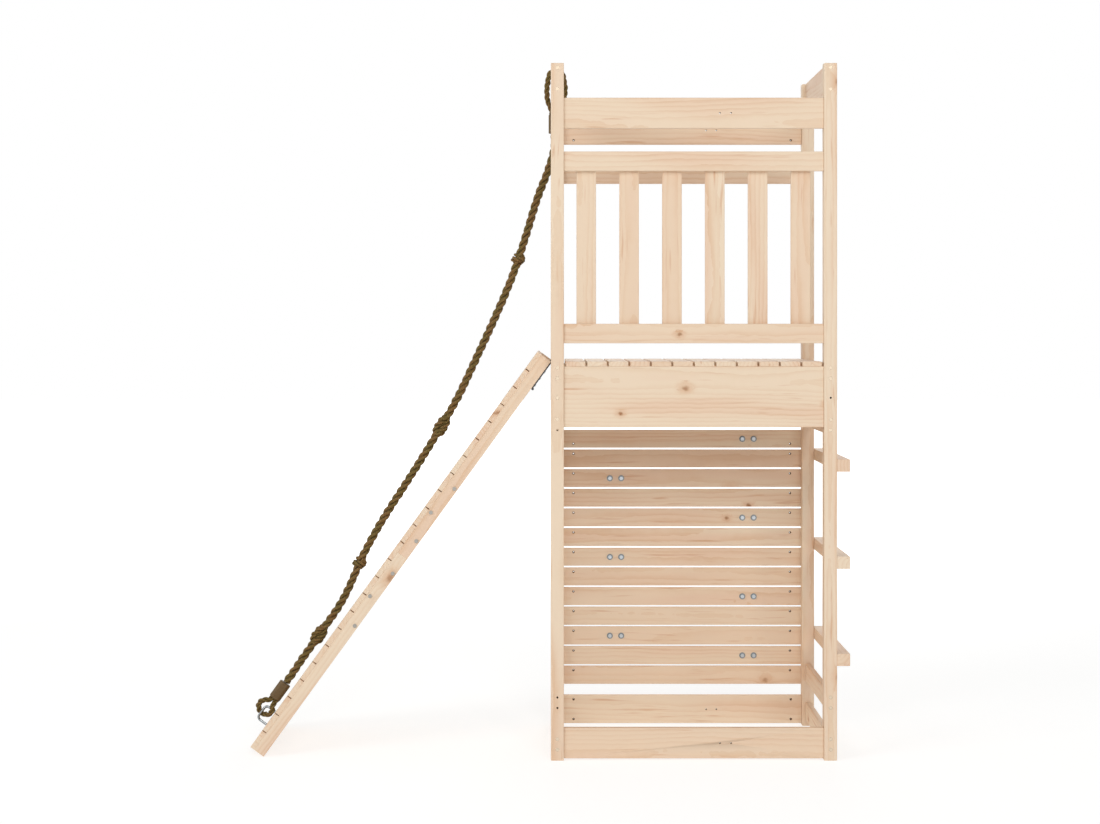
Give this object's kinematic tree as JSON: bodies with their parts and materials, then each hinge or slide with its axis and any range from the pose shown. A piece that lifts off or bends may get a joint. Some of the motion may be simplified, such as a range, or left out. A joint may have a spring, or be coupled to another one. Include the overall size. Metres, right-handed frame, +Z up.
{
  "type": "climbing frame",
  "caption": "Wooden climbing frame: a deck tower with slatted railing, climbing wall, side ladder and a sloped board ramp with a knotted rope to climb by.",
  "frame": {"origin": "middle of the footprint of the frame and its ramp, on the ground", "axes": "+Z up, +X towards the ladder, away from the ramp, +Y towards the climbing wall"},
  "size_m": [1.8649, 0.6409, 2.1567],
  "materials": {
    "pine": "planed, untreated",
    "zinc": "bright zinc",
    "dark_steel": "satin",
    "rope": "three-strand laid rope",
    "sleeve": "matt",
    "hold": "fine grain"
  },
  "bodies": {
    "frame": {"post_front_left": "pine", "post_front_right": "pine", "post_back_left": "pine", "post_back_right": "pine", "front_top_rail": "pine", "hand_rail": "pine", "foot_rail": "pine", "front_fascia": "pine", "front_bottom_rail": "pine", "back_top_rail": "pine", "back_guard_rail": "pine", "back_fascia": "pine", "back_bottom_rail": "pine", "left_top_rail": "pine", "left_joist": "pine", "left_lower_joist": "pine", "left_bottom_rail": "pine", "right_top_rail": "pine", "right_joist": "pine", "right_lower_joist": "pine", "right_second_rail": "pine", "right_bottom_rail": "pine", "slat_1": "pine", "slat_2": "pine", "slat_3": "pine", "slat_4": "pine", "slat_5": "pine", "slat_6": "pine", "rung_1": "pine", "rung_2": "pine", "rung_3": "pine", "deck_boards": "pine", "wall_boards": "pine", "climbing_holds": "hold", "hold_bolts": "zinc", "ramp_beam_front_lower": "pine", "ramp_beam_front_upper": "pine", "ramp_beam_back_lower": "pine", "ramp_beam_back_upper": "pine", "ramp_splice_front": "pine", "ramp_splice_back": "pine", "ramp_boards": "pine", "bracket_front": "dark_steel", "bracket_back": "dark_steel", "rope_anchor": "zinc", "anchor_nuts": "zinc", "top_eye": "rope", "top_sleeve": "sleeve", "foot_eye": "rope", "foot_sleeve": "sleeve", "frame_screws": "zinc", "board_screws": "zinc", "rung_bolts": "zinc", "ramp_bolts": "zinc", "bracket_screws": "zinc"},
    "rope": {"rope": "rope", "rope_knots": "rope"}
  },
  "joints": [
    {"name": "rope_swing", "type": "hinge", "parent": "frame", "child": "rope", "pos_m": [0.018, -0.0305, 1.95], "axis": [-0.4399, 0, -0.8981], "range_deg": [-45, 45]}
  ]
}
